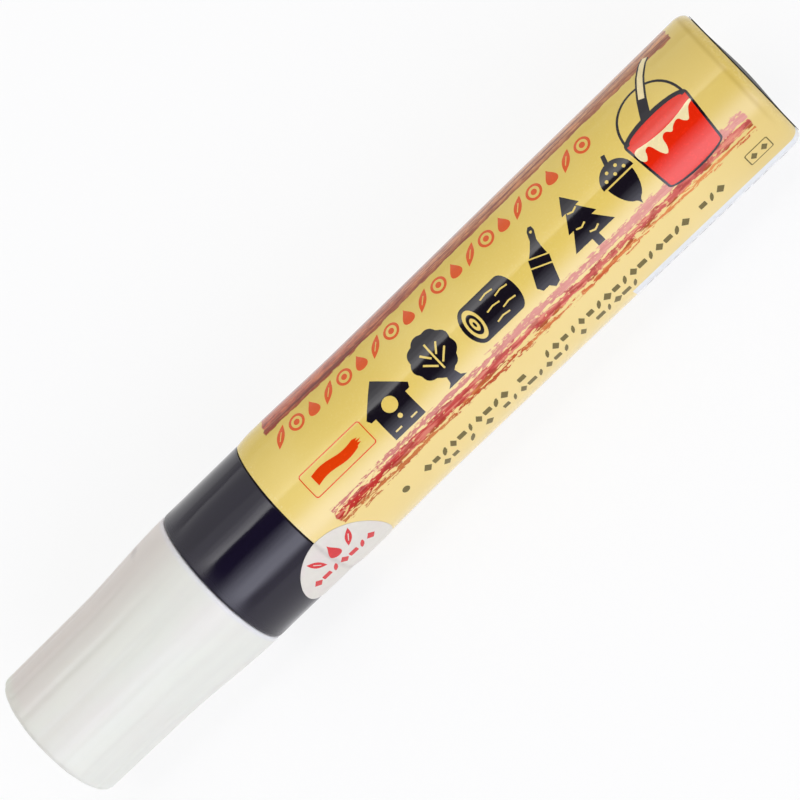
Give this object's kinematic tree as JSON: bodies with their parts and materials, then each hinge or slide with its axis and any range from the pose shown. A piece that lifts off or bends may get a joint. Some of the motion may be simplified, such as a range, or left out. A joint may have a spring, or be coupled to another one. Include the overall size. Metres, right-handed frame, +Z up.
{
  "type": "wood paint marker",
  "caption": "Thick valve-fed paint marker lying on its side: printed barrel, dark collar, push-on fluted cap, sprung felt nib and loose mixing balls.",
  "frame": {"origin": "middle of the footprint, on the surface that the marker lies on", "axes": "+X along the marker's axis towards its tail, -X towards the cap, +Z up; the sticker faces -Y"},
  "size_m": [0.154, 0.0274, 0.0271],
  "materials": {
    "barrel_plastic": "satin moulded",
    "label_film": "glossy printed film",
    "sticker_paper": "satin coated",
    "dark_plastic": "polished moulded",
    "seal_rubber": "matt",
    "valve_plastic": "satin moulded",
    "stem_plastic": "satin moulded",
    "spring_steel": "drawn wire",
    "ball_steel": "polished",
    "nib_felt": "pressed fibre",
    "cap_plastic": "satin, slightly translucent",
    "liner_plastic": "satin moulded"
  },
  "bodies": {
    "pen": {"barrel_tube": "barrel_plastic", "label_sleeve": "label_film", "colour_sticker": "sticker_paper", "tail_plug": "dark_plastic", "front_holder": "dark_plastic", "neck_gasket": "seal_rubber", "valve_case": "valve_plastic", "valve_seat": "seal_rubber", "spring_retainer": "valve_plastic", "valve_spring": "spring_steel"},
    "nib": {"nib": "nib_felt", "valve_stem": "stem_plastic"},
    "cap": {"cap_shell": "cap_plastic", "cap_liner": "liner_plastic"},
    "ball_1": {"mixing_ball_1": "ball_steel"},
    "ball_2": {"mixing_ball_2": "ball_steel"}
  },
  "joints": [
    {"name": "cap_pull", "type": "slide", "parent": "pen", "child": "cap", "axis": [-1, 0, 0], "range_m": [0, 0.055]},
    {"name": "nib_press", "type": "slide", "parent": "pen", "child": "nib", "axis": [1, 0, 0], "range_m": [0, 0.003], "stiffness_N_per_m": 500, "springref_m": -0.004, "deforming": ["valve_spring"]},
    {"name": "ball_1_roll", "type": "slide", "parent": "pen", "child": "ball_1", "axis": [-1, 0, 0], "range_m": [-0.027, 0.041]},
    {"name": "ball_2_roll", "type": "slide", "parent": "pen", "child": "ball_2", "axis": [-1, 0, 0], "range_m": [-0.027, 0.041]}
  ]
}
